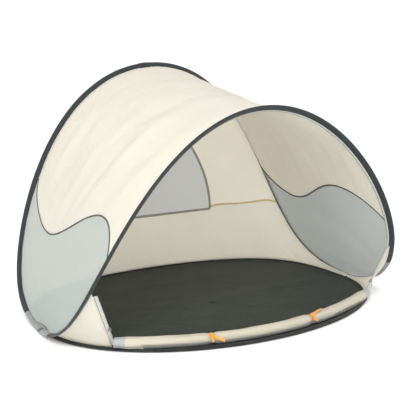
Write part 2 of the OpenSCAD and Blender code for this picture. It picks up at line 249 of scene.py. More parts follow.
def noise(x, y, seed):
    """Smooth random heights from -1 to 1 over a plane."""
    x, y = np.broadcast_arrays(np.asarray(x, float), np.asarray(y, float))
    table = np.random.default_rng(seed).uniform(-1, 1, (64, 64))
    i, j = np.floor(x).astype(int), np.floor(y).astype(int)
    f, g = ramp(x - i, 0, 1), ramp(y - j, 0, 1)
    at = lambda a, b: table[a % 64, b % 64]
    low = mix(at(i, j), at(i + 1, j), f)
    high = mix(at(i, j + 1), at(i + 1, j + 1), f)
    return mix(low, high, g)


# ---- meshes ----
def add_object(name, points, faces, uvs):
    mesh = bpy.data.meshes.new(name)
    mesh.from_pydata([tuple(p) for p in points], [], [tuple(f) for f in faces])
    layer = mesh.uv_layers.new(name="UVMap")
    layer.data.foreach_set("uv", np.asarray(uvs, np.float32).ravel())
    mesh.polygons.foreach_set("use_smooth", [True] * len(mesh.polygons))
    mesh.update()
    obj = bpy.data.objects.new(name, mesh)
    bpy.context.scene.collection.objects.link(obj)
    return obj


def run_lengths(points, axis):
    """How far each point of a grid is along one of its directions, in metres."""
    steps = np.linalg.norm(np.diff(points, axis=axis), axis=-1)
    first = np.zeros_like(np.take(steps, [0], axis=axis))
    return np.concatenate([first, np.cumsum(steps, axis=axis)], axis=axis)


def grid_faces(nu, nv, wrap_u=False, wrap_v=False):
    """Corner indices of a grid's quads, and the same corners before they wrap round."""
    i, j = np.meshgrid(np.arange(nu - (not wrap_u)), np.arange(nv - (not wrap_v)), indexing="ij")
    i, j = i.ravel(), j.ravel()
    rows = np.stack([i, i + 1, i + 1, i], 1)
    columns = np.stack([j, j, j + 1, j + 1], 1)
    return (rows % nu) * nv + columns % nv, rows, columns


def surface(name, points, wrap_u=False, wrap_v=False, caps=False):
    """A piece over a grid of points, with its UVs in metres."""
    nu, nv = points.shape[:2]
    faces, rows, columns = grid_faces(nu, nv, wrap_u, wrap_v)
    padded = np.pad(points, ((0, int(wrap_u)), (0, int(wrap_v)), (0, 0)), mode="wrap")
    u, v = run_lengths(padded, 0), run_lengths(padded, 1)
    uvs = np.stack([u[rows, columns], v[rows, columns]], -1).reshape(-1, 2)
    faces = [list(f) for f in faces]
    if caps:
        for ring in (range(nv), range((nu - 1) * nv, nu * nv)):
            faces.append(list(ring))
            uvs = np.concatenate([uvs, np.zeros((nv, 2))])
    obj = add_object(name, points.reshape(-1, 3), faces, uvs)
    if wrap_v:
        face_outward(obj)
    return obj


def face_outward(obj):
    work = bmesh.new()
    work.from_mesh(obj.data)
    bmesh.ops.recalc_face_normals(work, faces=work.faces)
    work.to_mesh(obj.data)
    work.free()


def join(name, objects):
    """One piece out of several, which keeps their materials."""
    with bpy.context.temp_override(
        active_object=objects[0], object=objects[0],
        selected_objects=objects, selected_editable_objects=objects,
    ):
        bpy.ops.object.join()
    objects[0].name = name
    return objects[0]


def oval(wide, thick, count, power=1.0):
    """A section of that full width and thickness. A power under 1 squares it off."""
    t = np.linspace(0, 2 * np.pi, count, endpoint=False)
    c, s = np.cos(t), np.sin(t)
    shape = [np.sign(c) * np.abs(c) ** power * wide / 2, np.sign(s) * np.abs(s) ** power * thick / 2]
    return np.stack(shape, -1)


def sweep(name, path, wide, thin, section, wrap=False):
    """A section, or one section for each station, carried along a path."""
    section = np.broadcast_to(section, (len(path), *section.shape[-2:]))
    points = path[:, None] + wide[:, None] * section[..., :1] + thin[:, None] * section[..., 1:]
    return surface(name, points, wrap_u=wrap, wrap_v=True, caps=not wrap)


def across_path(path, up):
    """Two directions across a path: one square to up, and one near it."""
    ahead = unit(np.gradient(path, axis=0))
    up = square_to(np.broadcast_to(up, path.shape), ahead)
    return np.cross(up, ahead), up


def ribbon(name, path, up, width, thickness):
    wide, thin = across_path(path, up)
    return sweep(name, path, wide, thin, oval(width, thickness, 12, 0.45))


def smooth_path(points, count):
    """A smooth line through a few points."""
    p = np.asarray(points, float)
    p = np.concatenate([[2 * p[0] - p[1]], p, [2 * p[-1] - p[-2]]])
    out = []
    for t in np.linspace(0, len(p) - 3, count):
        i = min(int(t), len(p) - 4)
        f = t - i
        a, b, c, d = p[i : i + 4]
        out.append(0.5 * (2 * b + (c - a) * f + (2 * a - 5 * b + 4 * c - d) * f**2
                          + (3 * b - a - 3 * c + d) * f**3))
    return np.array(out)


def stations(path, pitch):
    """Points a pitch apart along a path, as places between its points."""
    run = run_lengths(path, 0)
    return np.interp(np.arange(pitch / 2, run[-1], pitch), run, np.arange(len(path)))


def along(values, places):
    i = np.clip(places.astype(int), 0, len(values) - 2)
    return mix(values[i], values[i + 1], (places - i)[:, None])


def stitches(name, path, up, length=0.0034, gap=0.0016, width=0.0009, height=0.0006):
    """A row of sewn stitches along a path, each a small spindle."""
    wide, thin = across_path(path, up)
    places = stations(path, length + gap)
    p, w, t = along(path, places), along(wide, places), along(thin, places)
    k = unit(np.cross(w, t)) * (length / 2)
    w, t = w * (width / 2), t * height
    points = np.stack([p - k, p + w, p + t, p - w, p - t * 0.3, p + k], 1).reshape(-1, 3)
    corners = np.array([[0, 1, 2], [0, 2, 3], [0, 3, 4], [0, 4, 1],
                        [5, 2, 1], [5, 3, 2], [5, 4, 3], [5, 1, 4]])
    faces = (corners[None] + 6 * np.arange(len(p))[:, None, None]).reshape(-1, 3)
    obj = add_object(name, points, faces, np.zeros((len(faces) * 3, 2)))
    face_outward(obj)
    return obj


def teeth(name, path, up, pitch=0.0022, length=0.0036, radius=COIL_R):
    """A zip's row of coil teeth along a path, each a rounded bar across it."""
    wide, thin = across_path(path, up)
    places = stations(path, pitch)
    p, w, t = along(path, places), along(wide, places), along(thin, places)
    k = unit(np.cross(w, t)) * (pitch * 0.34)
    points, faces = [], []
    ring = [(-0.5, 0.55), (-0.5, -0.55), (0.5, -0.8), (0.5, 0.8)]
    for side, grow in ((-1, 0.7), (-0.5, 1), (0.5, 1), (1, 0.7)):
        for x, z in ring:
            points.append(p + k * side + w * (length * x) + t * (radius * z * grow))
    count = len(points)
    points = np.stack(points, 1).reshape(-1, 3)
    for r in range(3):
        for c in range(4):
            a, b = 4 * r + c, 4 * r + (c + 1) % 4
            faces.append([a, b, b + 4, a + 4])
    faces += [[3, 2, 1, 0], [12, 13, 14, 15]]
    faces = (np.array(faces)[None] + count * np.arange(len(p))[:, None, None]).reshape(-1, 4)
    obj = add_object(name, points, faces, np.zeros((len(faces) * 4, 2)))
    face_outward(obj)
    return obj


# ---- materials ----
def linear(*srgb):
    """A colour read as 0 to 255 steps, as the shader's linear colour."""
    out = []
    for step in srgb:
        c = step / 255
        out.append(c / 12.92 if c <= 0.04045 else ((c + 0.055) / 1.055) ** 2.4)
    return (*out, 1)


class Nodes:
    """Short calls for building a material's nodes."""

    def __init__(self, name):
        self.material = bpy.data.materials.new(name)
        self.material.use_nodes = True
        self.tree = self.material.node_tree
        self.shader = self.tree.nodes["Principled BSDF"]
        self.output = self.tree.nodes["Material Output"]

    def add(self, kind, links=(), **values):
        node = self.tree.nodes.new(kind)
        for key, value in values.items():
            setattr(node, key, value)
        for socket, source in dict(links).items():
            self.put(node, socket, source)
        return node

    def put(self, node, socket, source):
        if isinstance(source, bpy.types.NodeSocket):
            self.tree.links.new(source, node.inputs[socket])
        else:
            node.inputs[socket].default_value = source

    def math(self, operation, a, b=0.0):
        return self.add("ShaderNodeMath", {0: a, 1: b}, operation=operation).outputs[0]

    def blend(self, amount, a, b):
        node = self.add("ShaderNodeMix", data_type="RGBA")
        for socket, source in zip((0, 6, 7), (amount, a, b)):
            self.put(node, socket, source)
        return node.outputs[2]

    def spread(self, value, low, high, start=0.0, end=1.0):
        links = {0: value, 1: low, 2: high, 3: start, 4: end}
        return self.add("ShaderNodeMapRange", links).outputs[0]

    def noise(self, where, scale, detail=3.0, distortion=0.0):
        links = {"Vector": where, "Scale": scale, "Detail": detail, "Distortion": distortion}
        return self.add("ShaderNodeTexNoise", links).outputs[0]

    def stripes(self, where, axis, pitch):
        links = {"Vector": where, "Scale": math.pi / (10 * pitch)}
        return self.add(
            "ShaderNodeTexWave", links, wave_type="BANDS", bands_direction=axis, wave_profile="SIN"
        ).outputs[1]

    def where(self, name):
        return self.add("ShaderNodeTexCoord").outputs[name]

    def squeeze(self, where, scale):
        return self.add("ShaderNodeMapping", {"Vector": where, "Scale": scale}).outputs[0]

    def bump(self, height, distance, strength=1.0, under=None):
        links = {"Height": height, "Distance": distance, "Strength": strength}
        if under is not None:
            links["Normal"] = under
        return self.add("ShaderNodeBump", links).outputs[0]


def scaled(colour, share):
    return (*(min(1, c * share) for c in colour[:3]), 1)


def cloth_paint(n, threads, colour, tone, shade, thread_gap_shade):
    """Uneven colour, and painted shade: a darker tone between the threads."""
    dark, light = scaled(colour, 1 - 2 * shade), scaled(colour, 1 + 0.5 * shade)
    paint = n.blend(n.spread(tone, 0.3, 0.7), dark, light)
    # painted shade: the gaps between the threads are blended towards a darker copy of the colour
    return n.blend(n.spread(threads, 0.0, 1.0, thread_gap_shade, 0.0), paint, scaled(colour, 0.86))


def cloth(name, colour, rough=0.8, sheen=0.15, pitch=0.0009, weave=0.00012, shade=0.06,
          crease=0.0012, ripstop=0.0, glow=0.0, alpha=1.0, dirt=None, thread_gap_shade=0.22):
    """Woven cloth: threads with painted shade between them, faint creases, uneven colour, and light
    that comes through it.
    """
    n = Nodes(name)
    where = n.where("UV")
    warp, weft = n.stripes(where, "X", pitch), n.stripes(where, "Y", pitch)
    threads = n.math("MAXIMUM", warp, n.math("SUBTRACT", 1.0, weft))
    clouds = n.noise(where, 5.0, 4.0, 0.4)
    streaks = n.noise(n.squeeze(where, (60, 900, 60)), 1.0, 2.0)
    tone = n.math("ADD", n.math("MULTIPLY", clouds, 0.7), n.math("MULTIPLY", streaks, 0.3))
    paint = cloth_paint(n, threads, colour, tone, shade, thread_gap_shade)
    if ripstop:
        lines = [n.spread(n.stripes(where, axis, ripstop), 0.93, 1.0) for axis in "XY"]
        cords = n.math("MAXIMUM", *lines)
        threads = n.math("ADD", threads, n.math("MULTIPLY", cords, 1.5))
        paint = n.blend(n.math("MULTIPLY", cords, 0.35), paint, scaled(colour, 0.86))
    if dirt:
        spots = n.spread(n.noise(where, 9.0, 6.0, 1.0), 0.52, 0.75, 0.0, 0.5)
        paint = n.blend(spots, paint, dirt)
    normal = n.bump(n.noise(where, 16.0, 3.0, 1.2), crease)
    normal = n.bump(threads, weave, 0.8, normal)
    n.put(n.shader, "Base Color", paint)
    n.put(n.shader, "Roughness", n.spread(tone, 0.2, 0.8, rough - 0.06, rough + 0.06))
    n.put(n.shader, "Normal", normal)
    n.shader.inputs["Sheen Weight"].default_value = sheen
    n.shader.inputs["Sheen Roughness"].default_value = 0.5
    n.shader.inputs["Specular IOR Level"].default_value = 0.3
    n.shader.inputs["Alpha"].default_value = alpha
    if glow:
        through = n.add("ShaderNodeBsdfTranslucent", {"Color": paint, "Normal": normal})
        both = n.add("ShaderNodeMixShader", {0: glow, 1: n.shader.outputs[0], 2: through.outputs[0]})
        n.put(n.output, "Surface", both.outputs[0])
    return n.material


def hard(name, colour, rough, metal=0.0, grain=0.00015, scale=300.0, coat=0.0):
    """Metal or moulded plastic with fine grain, and rubbed brighter in patches."""
    n = Nodes(name)
    where = n.where("Object")
    patches = n.noise(where, scale * 0.3, 4.0)
    dark, bright = scaled(colour, 0.7), scaled(colour, 1.25)
    n.put(n.shader, "Base Color", n.blend(n.spread(patches, 0.35, 0.65), dark, bright))
    n.put(n.shader, "Roughness", n.spread(patches, 0.3, 0.7, rough + 0.1, rough - 0.08))
    n.put(n.shader, "Normal", n.bump(n.noise(where, scale, 5.0), grain))
    n.shader.inputs["Metallic"].default_value = metal
    n.shader.inputs["Coat Weight"].default_value = coat
    return n.material


# Each cloth below darkens the gaps between its threads as painted shade.
CANOPY = cloth("canopy_cloth", linear(236, 232, 222), rough=0.72, glow=0.5, shade=0.015,
               crease=0.0018, thread_gap_shade=0.06)
WALL = cloth("wall_cloth", linear(245, 242, 233), rough=0.78, glow=0.62, shade=0.02,
             crease=0.0016, thread_gap_shade=0.06)
LOWER = cloth("lower_wall_cloth", linear(242, 239, 230), rough=0.8, glow=0.6, shade=0.02,
              crease=0.0016, thread_gap_shade=0.06)
FELL = cloth("seam_band", linear(250, 234, 196), rough=0.75, glow=0.5, shade=0.03, thread_gap_shade=0.1)
DOOR = cloth("door_cloth", linear(194, 188, 170), rough=0.75, glow=0.1, shade=0.05, crease=0.002,
             thread_gap_shade=0.1)
SELVEDGE = cloth("selvedge", linear(214, 217, 213), rough=0.5, sheen=0.3, pitch=0.0012, thread_gap_shade=0.1)
SILVER = cloth("silver_cuff", linear(156, 160, 162), rough=0.42, sheen=0.3, crease=0.003)
NETTING = cloth("side_netting", linear(164, 170, 165), rough=0.85, alpha=0.86, pitch=0.0018,
                weave=0.0003, glow=0.0, shade=0.02)
WINDOW_NET = cloth("window_netting", linear(196, 197, 194), rough=0.85, alpha=0.8, pitch=0.0018,
                   weave=0.0003, shade=0.02)
BINDING = cloth("binding", linear(36, 41, 43), rough=0.62, sheen=0.12, pitch=0.0016,
                weave=0.00025, shade=0.12, crease=0.0015)
BASE = cloth("base_binding", linear(26, 29, 30), rough=0.7, sheen=0.08, pitch=0.0016,
             weave=0.00025, shade=0.12, crease=0.0015, dirt=linear(84, 82, 74))
PIPING = cloth("piping", linear(66, 69, 66), rough=0.7, sheen=0.2, pitch=0.0012, shade=0.1)
EDGING = cloth("window_tape", linear(164, 163, 152), rough=0.7, sheen=0.2, pitch=0.0012, shade=0.08)
COVER = cloth("foot_cover", linear(132, 136, 135), rough=0.65, sheen=0.2, pitch=0.0014,
              weave=0.0002, shade=0.08)
SHEET = cloth("groundsheet", linear(36, 44, 37), rough=0.62, sheen=0.05, pitch=0.0014,
              weave=0.0002, shade=0.1, crease=0.003, ripstop=0.008)
ZIP_TAPE = cloth("zip_tape", linear(178, 181, 176), rough=0.7, sheen=0.3, pitch=0.0008, shade=0.06)
# the same zip tape as above, darkened: painted shade at the foot of the rolled door
SHADED_ZIP_TAPE = cloth("zip_tape_painted_shade", linear(128, 131, 129), rough=0.7, sheen=0.3, pitch=0.0008,
                  shade=0.08)
TIE = cloth("tie_webbing", linear(238, 156, 44), rough=0.6, sheen=0.3, pitch=0.0011,
            weave=0.0002, shade=0.1)
PEG_WEB = cloth("peg_webbing", linear(46, 50, 50), rough=0.75, sheen=0.3, pitch=0.0022,
                weave=0.0004, shade=0.12, dirt=linear(88, 84, 74))
THREAD_DARK = hard("thread_dark", linear(78, 84, 84), 0.6, grain=0.0001)
THREAD_TAN = hard("thread_tan", linear(252, 234, 190), 0.6, grain=0.0001)
THREAD_PALE = hard("thread_pale", linear(225, 220, 205), 0.6, grain=0.0001)
TOOTH = hard("zip_teeth", linear(150, 153, 151), 0.35, coat=0.2)
STEEL = hard("spring_steel", linear(168, 170, 172), 0.3, 1.0)
ZINC = hard("zip_metal", linear(150, 152, 154), 0.32, 1.0, scale=500.0)
PULL = hard("pull_tab", linear(150, 153, 154), 0.4, scale=500.0, coat=0.15)


def dress(obj, material, thickness=0.0):
    obj.data.materials.clear()
    obj.data.materials.append(material)
    if thickness:
        solid = obj.modifiers.new("thickness", "SOLIDIFY")
        solid.thickness = thickness
        solid.offset = 0
    return obj


def follow_y(obj):
    """Bakes the piece's placement into its mesh."""
    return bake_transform(obj)


def follow_share(obj):
    """Bakes the piece's placement into its mesh."""
    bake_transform(obj)
    return obj


# ---- bindings and the wires inside them ----
def tape_section(count=24):
    """A tape folded round the wire: a bead outside and a flat lip inside."""
    section = oval(SLEEVE_W, SLEEVE_T, count, 0.9)
    lip = 0.44 + 0.56 * ramp(section[:, 0], -0.009, 0.003)
    section[:, 1] *= lip
    return section


def binding(name, curve, hub, count, seed, thread, material, covers=()):
    """A closed binding with its pucker, and its row of stitches along the lip on both faces.

    Each cover is a stretch where a grey tape wraps the binding instead."""
    a = even_angles(curve, -90, 270, count + 1)[:-1]
    path, o = curve(a), outward(curve, a, hub)
    side = np.cross(heading(curve, a), o)
    run = run_lengths(path, 0)
    section = np.repeat(tape_section()[None], len(a), 0)
    pucker = noise(run / 0.022, 0.5, seed) + 0.6 * noise(run / 0.009, 0.5, seed + 1)
    fade = ramp(np.minimum(run, run[-1] - run), 0, 0.05)
    section[..., 1] *= 1 + 0.05 * (pucker * fade)[:, None]
    section[..., 0] += 0.0004 * (noise(run / 0.06, 3.5, seed + 2) * fade)[:, None]
    tape = dress(sweep(name, path, o, side, section, wrap=True), material)
    tape.data.materials.append(COVER)
    covered = np.zeros(len(a), bool)
    for first, last in covers:
        covered |= (a > first) & (a < last)
    which = np.repeat(covered.astype(np.int32), section.shape[1])
    tape.data.polygons.foreach_set("material_index", which)
    rows = []
    for face in (1, -1):
        line = path - o * LIP_SEAM + side * (face * 0.00335)
        rows.append(stitches(f"{name}_row", line, side * face))
    sewn = dress(join(f"{name}_stitches", rows), thread)
    for piece in (tape, sewn):
        follow_y(piece)
    return tape


def wire(name, curve, hub, count):
    a = even_angles(curve, -90, 270, count + 1)[:-1]
    o = outward(curve, a, hub)
    side = np.cross(heading(curve, a), o)
    piece = sweep(name, curve(a), o, side, oval(2 * WIRE_R, 2 * WIRE_R, 10), wrap=True)
    return follow_y(dress(piece, STEEL))


def overlap(name, curve, hub, middle, half):
    """The two ends of the binding lie over each other, with three rows across the joint."""
    a = np.linspace(middle - half, middle + half, 18)
    path, o = curve(a), outward(curve, a, hub)
    side = np.cross(heading(curve, a), o)
    swell = 1 + 0.16 * np.sin(np.linspace(0.35, math.pi - 0.35, len(a)))
    section = tape_section()[None] * swell[:, None, None]
    piece = sweep(name, path, o, side, section)
    rows = []
    for at in (2, 4, 15):
        for face in (1, -1):
            line = np.stack([path[at] + o[at] * x + side[at] * (face * 0.0052) for x in
                             np.linspace(-0.006, 0.007, 8)])
            rows.append(stitches(f"{name}_row", line, side[at] * face, 0.0026, 0.0012))
    dress(piece, BASE if "floor" in name else BINDING)
    sewn = dress(join(f"{name}_stitches", rows), THREAD_DARK)
    for part in (piece, sewn):
        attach(part, "rear")


arch_binding = binding("arch_binding", arch, HUB, 460, 11, THREAD_DARK, BINDING, FOOT_COVERS)
floor_binding = binding("floor_binding", floor_hoop, FLOOR_HUB, 400, 21, THREAD_DARK, BASE)
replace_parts(arch_binding, "rear_arch_sleeve", "front_arch_sleeve")
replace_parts(floor_binding, "rear_floor_sleeve", "front_floor_sleeve")
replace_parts(wire("arch_wire", arch, HUB, 300), "rear_arch_wire", "front_arch_wire")
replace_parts(wire("floor_wire", floor_hoop, FLOOR_HUB, 260), "rear_floor_wire", "front_floor_wire")
overlap("arch_binding_joint", arch, HUB, -3.0, 1.5)
overlap("floor_binding_joint", floor_hoop, FLOOR_HUB, 0.0, 1.6)


# ---- roof: canopy, mesh sides and the piping between them ----
def puckers(run, distance, seed, pitch=0.03, depth=0.0012, reach=0.035):
    """Short pulls that leave a sewn edge and fade out away from it."""
    return depth * noise(run / pitch, distance / 0.2, seed) * np.exp(-distance / reach)


def normals(points):
    return unit(np.cross(np.gradient(points, axis=0), np.gradient(points, axis=1)))


def lift(points, height):
    return points + normals(points) * height[..., None]


def canopy():
    u, v = np.meshgrid(np.linspace(-1, 1, 181), np.linspace(0, 1, 81), indexing="ij")
    points = roof(u * np.where(u > 0, wave(v), wave(v, -1)), v)
    x, y = run_lengths(points, 0), run_lengths(points, 1)
    depth = y.max(1, keepdims=True)
    inside = np.sin(np.pi * np.clip(v, 0, 1)) ** 0.6 * (1 - u**8)
    sway = 0.35 * noise(x / 0.30, y / 0.25, 31)
    left = 0.45 + 0.55 * ramp(-u, 0.15, 0.7)
    broad = noise(x / 0.34 + sway, y / 0.085 + 2 * sway, 32) * left
    fine = noise(x / 0.16 + sway, y / 0.045 + sway, 33) * left
    across = noise(x / 0.11 + sway, y / 0.30, 34)
    height = inside * (0.0125 * broad + 0.0055 * fine + 0.0050 * across)
    height = height + puckers(x, y, 35) + puckers(x, depth - y, 36)
    piece = surface("canopy", lift(points, height))
    dress(piece, CANOPY, CLOTH_T)
    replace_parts(piece, "canopy_panel")
    follow_share(piece)
    return piece


def side_mesh(name, side, node):
    u, v = np.meshgrid(np.linspace(0, 1, 61), np.linspace(0, 1, 61), indexing="ij")
    points = roof(mix(wave(v, side), MESH_END, u), v)
    x, y = run_lengths(points, 0), run_lengths(points, 1)
    inside = np.sin(np.pi * v) ** 0.6 * np.sin(np.pi * np.clip(u, 0, 1)) ** 0.4
    seed = 40 if side > 0 else 50
    height = inside * (0.0032 * noise(x / 0.13, y / 0.10, seed) - 0.002)
    height = height + puckers(x, y, seed + 1, depth=0.0007) + puckers(y, x, seed + 2, depth=0.0007)
    points = lift(points, height) * [side, 1, 1]
    piece = dress(surface(name, points), NETTING)
    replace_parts(piece, node)
    follow_share(piece)
    return piece


def side_piping(name, side, node):
    """A folded tape with a raised cord covers the seam between canopy and mesh."""
    k = np.linspace(0.004, 0.996, 150)
    path = roof(wave(k, side), k) * [side, 1, 1]
    out = unit(path - HUB)
    wide, thin = across_path(path, out)
    section = oval(PIPING_W, 0.0034, 14, 0.8)
    section[:, 1] *= 1 + 0.5 * near(section[:, 0], 0, 0.0012)
    tape = dress(sweep(name, path, wide, thin, section), PIPING)
    rows = [stitches("row", path + wide * (at * 0.002) + thin * 0.0013, thin) for at in (1, -1)]
    sewn = dress(join(f"{name}_stitches", rows), THREAD_DARK)
    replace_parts(tape, node)
    for piece in (tape, sewn):
        follow_share(piece)


canopy()
side_mesh("mesh_right", 1, "side_mesh_right")
side_mesh("mesh_left", -1, "side_mesh_left")
side_piping("piping_right", 1, "side_piping_right")
side_piping("piping_left", -1, "side_piping_left")


# ---- back wall, its seam and its window ----
def back_upper():
    """The upper back wall, round the window hole."""
    u, v = np.meshgrid(np.linspace(0, 1, 121), np.linspace(0, 1, 41), indexing="ij")
    f = 180 * u
    a = mix(window_side(f), SEAM_REACH * np.cos(np.radians(f)), v)
    low = np.abs(np.cos(np.radians(f))) ** 6
    points = wall(a, window_rise(f) * mix(1 - v**SEAM_BEND, seam_fall(v), low))
    x, y = run_lengths(points, 0), run_lengths(points, 1)
    inside = np.sin(np.pi * v) ** 0.5 * np.sin(np.pi * u) ** 0.3
    sway = 0.4 * noise(x / 0.25, y / 0.2, 61)
    height = inside * (0.0055 * noise(x / 0.09 + sway, y / 0.22, 62)
                       + 0.0036 * noise(x / 0.2, y / 0.07 + sway, 63))
    height = height + inside * puckers(x, y, 64, depth=0.0015)
    piece = surface("back_upper", lift(points, height))
    dress(piece, WALL, CLOTH_T)
    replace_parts(piece, "back_wall_upper")
    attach(piece, "rear")
    return piece


def back_lower():
    u, v = np.meshgrid(np.linspace(-LOWER_END, LOWER_END, 149), np.linspace(0, 1, 31), indexing="ij")
    points = wall(u, mix(seam(u), 1, v))
    x, y = run_lengths(points, 0), run_lengths(points, 1)
    inside = np.sin(np.pi * v) ** 0.5 * (1 - (np.abs(u) / LOWER_END) ** 10)
    sway = 0.5 * noise(x / 0.3, y / 0.2, 71)
    height = inside * (0.0050 * noise(x / 0.30 + sway, y / 0.07 + sway, 72)
                       + 0.0028 * noise(x / 0.10 + sway, y / 0.12, 73))
    height = height + inside * puckers(x, y.max(1, keepdims=True) - y, 74, depth=0.002)
    piece = surface("back_lower", lift(points, height))
    dress(piece, LOWER, CLOTH_T)
    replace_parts(piece, "back_wall_lower")
    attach(piece, "rear")
    return piece


def window():
    v, u = np.meshgrid(np.linspace(0, 1, 45), np.linspace(-1, 1, 61), indexing="ij")
    f = 90 * v
    side = window_side(f) * 0.999
    a = -u * side
    points = wall(a, mix(seam(a), WINDOW_TOP, np.sin(np.radians(f))))[:-1]
    piece = dress(surface("window_net", points), WINDOW_NET)
    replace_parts(piece, "window_mesh")
    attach(piece, "rear")
    return piece


def on_wall(a, k):
    """Points on the back wall, and the way out of the shelter there."""
    a, k = np.broadcast_arrays(np.asarray(a, float), np.asarray(k, float))
    p = wall(a, k)
    u = wall(a + 0.2, k) - p
    v = wall(a, k + 0.002) - p
    return p, unit(np.cross(v, u))


def window_edging():
    """Grey tape round the window, with a row of stitches inside and out."""
    f = np.linspace(0.4, 179.6, 150)
    a = np.linspace(-1, 1, 70) * WINDOW_HALF
    over, up_over = on_wall(window_side(f), window_rise(f))
    sill_line, up_sill = on_wall(a, seam(a))
    pieces, rows = [], []
    for path, up in ((over, up_over), (sill_line, up_sill)):
        pieces.append(ribbon("edge", path, up, EDGING_W, 0.0024))
        wide, thin = across_path(path, up)
        for face in (1, -1):
            rows.append(stitches("row", path + wide * 0.0038 + thin * (face * 0.0013), thin * face))
    edge = dress(join("window_edge", pieces), EDGING)
    sewn = dress(join("window_edge_stitches", rows), THREAD_DARK)
    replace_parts(edge, "window_edging")
    for piece in (edge, sewn):
        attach(piece, "rear")


def back_seam():
    """The felled seam on each side of the window, down to where it meets the arch."""
    bands, rows = [], []
    for side in (1, -1):
        a = side * np.linspace(WINDOW_HALF + 0.4, SEAM_REACH - 0.5, 90)
        path, up = on_wall(a, seam(a))
        bands.append(ribbon("band", path, up, SEAM_W, 0.002))
        wide, thin = across_path(path, up)
        for at in (0.0028, -0.0028):
            for face in (1, -1):
                line = path + wide * at + thin * (face * 0.001)
                rows.append(stitches("row", line, thin * face, 0.004, 0.0014, 0.0010))
    band = dress(join("back_seam", bands), FELL)
    sewn = dress(join("back_seam_stitches", rows), THREAD_TAN)
    for piece in (band, sewn):
        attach(piece, "rear")


back_upper()
back_lower()
window()
window_edging()
back_seam()


# ---- groundsheet ----
def groundsheet():
    a = np.linspace(-90, 270, 221)[:-1]
    edge = floor_hoop(a) - outward(floor_hoop, a, FLOOR_HUB) * 0.008
    r = np.linspace(0, 1, 70)[1:]
    centre = np.array([0, FOLD_Y, 0])
    points = mix(centre, edge[:, None], r[None, :, None])
    x, y = points[..., 0], points[..., 1]
    edge_rise = ramp(np.broadcast_to(r, x.shape), 0.955, 1)
    sway = 0.6 * noise(x / 0.3 + 20, y / 0.2 + 20, 81)
    soft = noise(x / 0.33 + 20 + sway, y / 0.075 + 20 + sway, 82)
    small = noise(x / 0.12 + 20 + sway, y / 0.05 + 20, 83)
    z = 0.0026 + (0.0013 * soft + 0.0006 * small) * (1 - edge_rise)
    points[..., 2] = mix(z, 0.0038, edge_rise)
    flat = np.concatenate([points.reshape(-1, 3), [[0, FOLD_Y, points[:, 0, 2].mean()]]])
    nu, nv = points.shape[:2]
    faces = [list(f) for f in grid_faces(nu, nv, wrap_u=True)[0]]
    hub = len(flat) - 1
    faces += [[hub, i * nv, ((i + 1) % nu) * nv] for i in range(nu)]
    uvs = np.concatenate([flat[f][:, :2] for f in faces])
    piece = add_object("groundsheet", flat, faces, uvs)
    dress(piece, SHEET, 0.0006)
    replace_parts(piece, "groundsheet_rear", "groundsheet_front")
    follow_y(piece)
    return piece


groundsheet()


# ---- gussets, zips and the sliders' tapes ----
def zip_seam(a, k):
    """Where the zip is sewn on, just clear of both bindings."""
    o, ahead = outward(arch, a, HUB), heading(arch, a)
    high = arch(a) - o * RIM_TUCKED - np.cross(ahead, o) * 0.0022
    return mix(high, sill(a) + [0, 0, 0.0027], k)


def zip_frame():
    """The right zip's foot, its way into the doorway, its way up and its way out."""
    low, high = zip_seam(GUSSET_EDGE, 1.0), zip_seam(GUSSET_EDGE, 0.0)
    up = unit(high - low)
    inward = square_to(zip_seam(GUSSET_EDGE + 1, 0.5) - zip_seam(GUSSET_EDGE, 0.5), up)
    return low, inward, up, np.cross(up, inward), np.linalg.norm(high - low)


def gusset(name, side, node):
    u, v = np.meshgrid(np.linspace(0, 1, 41), np.linspace(0, 1, 31), indexing="ij")
    points = wall(mix(GUSSET_START, GUSSET_EDGE, u), v)
    x, y = run_lengths(points, 0), run_lengths(points, 1)
    inside = np.sin(np.pi * v) ** 0.5 * np.sin(np.pi * u) ** 0.5
    seed = 90 if side > 0 else 95
    height = inside * (0.0022 * noise(x / 0.06, y / 0.12, seed)
                       + 0.0015 * noise(x / 0.03, y / 0.2, seed + 1))
    points = lift(points, height) * [side, 1, 1]
    piece = dress(surface(name, points), WALL, CLOTH_T)
    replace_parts(piece, node)
    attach(piece, "front")
    return piece


def gusset_zip(name, side, node):
    """Half a zip on the gusset's free edge, with its selvedge, its stitches and its teeth."""
    low, inward, up, out, length = zip_frame()
    mirror = np.array([side, 1, 1])
    t = np.linspace(0.004, length - 0.012, 60)[:, None]
    base = low + up * t
    face = out * mirror
    middle = base + inward * (TAPE_W / 2 + 0.0006)
    tape = ribbon("tape", middle * mirror, face, TAPE_W - 0.001, 0.0009)
    beside = base - inward * 0.0048 + out * 0.0006
    strip = ribbon("strip", beside * mirror, face, 0.0095, 0.0009)
    edge = base + inward * TAPE_W
    coil = teeth("coil", edge * mirror, face, length=0.0028, radius=0.0010)
    dress(tape, ZIP_TAPE)
    dress(strip, WALL)
    dress(coil, TOOTH)
    rows = []
    for at in (0.0015, -0.007):
        for way in (1, -1):
            line = base + inward * at + out * (0.0006 + way * 0.0006)
            rows.append(dress(stitches("row", line * mirror, face * way), THREAD_PALE))
    piece = join(name, [tape, strip, coil, *rows])
    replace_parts(piece, node)
    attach(piece, "front")
    return piece


